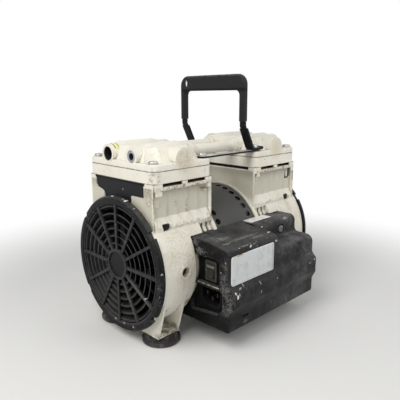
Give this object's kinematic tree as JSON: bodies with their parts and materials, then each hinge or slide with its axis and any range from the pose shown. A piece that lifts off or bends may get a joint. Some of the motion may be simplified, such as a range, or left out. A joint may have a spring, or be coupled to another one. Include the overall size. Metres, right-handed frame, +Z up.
{
  "type": "vacuum pump",
  "caption": "Portable oil-free vacuum pump with a rocking piston at each end of a fan-cooled motor, tube-linked heads, side electrical cover with rocker switch and inlet, and a carry handle.",
  "frame": {"origin": "on the floor plane, at the centre of the four threaded foot inserts, midway between the two cylinders and under the motor shaft", "axes": "+Z up; X along the motor shaft, with the end that carries the open ports at -X; -Y towards the electrical cover"},
  "size_m": [0.2506, 0.191, 0.2795],
  "materials": {
    "cream_paint": "satin cream powder coat on cast aluminium, grimy at the seams",
    "black_plastic": "black moulded plastic with light scuffs",
    "black_steel": "black painted steel strip",
    "shell_paint": "dark grey painted steel",
    "zinc_steel": "zinc plated steel",
    "ground_steel": "ground bearing steel",
    "iron": "bare cast iron and laminations",
    "bare_aluminium": "bare die-cast aluminium",
    "copper": "varnished copper wire",
    "brass": "plain brass",
    "rubber": "black rubber",
    "ptfe": "filled fluoropolymer",
    "gasket": "dark fibre gasket",
    "nylon": "black glass-filled nylon",
    "capacitor_case": "black capacitor case"
  },
  "bodies": {
    "pump_body": {"rear_housing": "cream_paint", "front_housing": "cream_paint", "rear_cylinder_sleeve": "bare_aluminium", "front_cylinder_sleeve": "bare_aluminium", "sleeve_seals": "rubber", "rear_fan_guard": "black_plastic", "front_fan_guard": "black_plastic", "rear_baffle": "black_steel", "front_baffle": "black_steel", "housing_plugs": "rubber", "rubber_feet": "rubber", "foot_studs": "zinc_steel", "stator_shell": "shell_paint", "stator_core": "iron", "stator_windings": "copper", "tie_bolts": "zinc_steel", "main_bearing_outer_rings": "ground_steel", "front_valve_plate": "cream_paint", "rear_valve_plate": "cream_paint", "front_head": "cream_paint", "rear_head": "cream_paint", "head_gaskets": "gasket", "exhaust_keepers": "ground_steel", "reed_screws": "zinc_steel", "head_screws": "zinc_steel", "intake_tube": "cream_paint", "exhaust_tube": "cream_paint", "exhaust_bushing": "zinc_steel", "port_plugs": "zinc_steel", "head_straps": "black_steel", "handle_bail": "black_steel", "handle_grip": "black_plastic", "electrical_cover": "black_plastic", "cover_screws": "zinc_steel", "capacitor": "capacitor_case", "switch_body": "nylon", "power_inlet": "nylon", "inlet_pins": "brass"},
    "rotor": {"main_shaft": "ground_steel", "rotor_core": "iron", "bearing_inner_rings": "ground_steel", "front_eccentric": "iron", "rear_eccentric": "iron", "set_screws": "zinc_steel", "front_fan": "nylon", "rear_fan": "nylon", "fan_clips": "zinc_steel"},
    "front_rod_body": {"front_rod": "bare_aluminium", "front_rod_bearing": "ground_steel", "front_piston_cup": "ptfe", "front_cup_retainer": "bare_aluminium"},
    "rear_rod_body": {"rear_rod": "bare_aluminium", "rear_rod_bearing": "ground_steel", "rear_piston_cup": "ptfe", "rear_cup_retainer": "bare_aluminium"},
    "rocker": {"switch_rocker": "nylon"},
    "front_intake_valve": {"front_intake_reed": "ground_steel"},
    "front_exhaust_valve": {"front_exhaust_reed": "ground_steel"},
    "rear_intake_valve": {"rear_intake_reed": "ground_steel"},
    "rear_exhaust_valve": {"rear_exhaust_reed": "ground_steel"}
  },
  "joints": [
    {"name": "shaft_spin", "type": "hinge", "parent": "pump_body", "child": "rotor", "pos_m": [0, 0, 0.082], "axis": [1, 0, 0], "continuous": true},
    {"name": "front_rod_swing", "type": "hinge", "parent": "rotor", "child": "front_rod_body", "pos_m": [-0.0768, 0, 0.0865], "axis": [1, 0, 0], "continuous": true, "deforming": ["front_piston_cup"]},
    {"name": "rear_rod_swing", "type": "hinge", "parent": "rotor", "child": "rear_rod_body", "pos_m": [0.0768, 0, 0.0775], "axis": [1, 0, 0], "continuous": true, "deforming": ["rear_piston_cup"]},
    {"name": "switch_rock", "type": "hinge", "parent": "pump_body", "child": "rocker", "pos_m": [-0.0665, -0.0842, 0.0821], "axis": [0, 1, 0], "range_deg": [-16, 0]},
    {"name": "front_intake_reed_lift", "type": "hinge", "parent": "pump_body", "child": "front_intake_valve", "pos_m": [-0.0593, 0.014, 0.1742], "axis": [0, -1, 0], "range_deg": [0, 2.5], "stiffness_Nm_per_rad": 0.02},
    {"name": "front_exhaust_reed_lift", "type": "hinge", "parent": "pump_body", "child": "front_exhaust_valve", "pos_m": [-0.0593, -0.014, 0.183], "axis": [0, 1, 0], "range_deg": [0, 2.5], "stiffness_Nm_per_rad": 0.02},
    {"name": "rear_intake_reed_lift", "type": "hinge", "parent": "pump_body", "child": "rear_intake_valve", "pos_m": [0.0943, 0.014, 0.1742], "axis": [0, -1, 0], "range_deg": [0, 2.5], "stiffness_Nm_per_rad": 0.02},
    {"name": "rear_exhaust_reed_lift", "type": "hinge", "parent": "pump_body", "child": "rear_exhaust_valve", "pos_m": [0.0943, -0.014, 0.183], "axis": [0, 1, 0], "range_deg": [0, 2.5], "stiffness_Nm_per_rad": 0.02}
  ],
  "couplings": [
    {"joint": "front_rod_swing", "follows": "shaft_spin", "ratio": -1},
    {"joint": "rear_rod_swing", "follows": "shaft_spin", "ratio": -1}
  ]
}
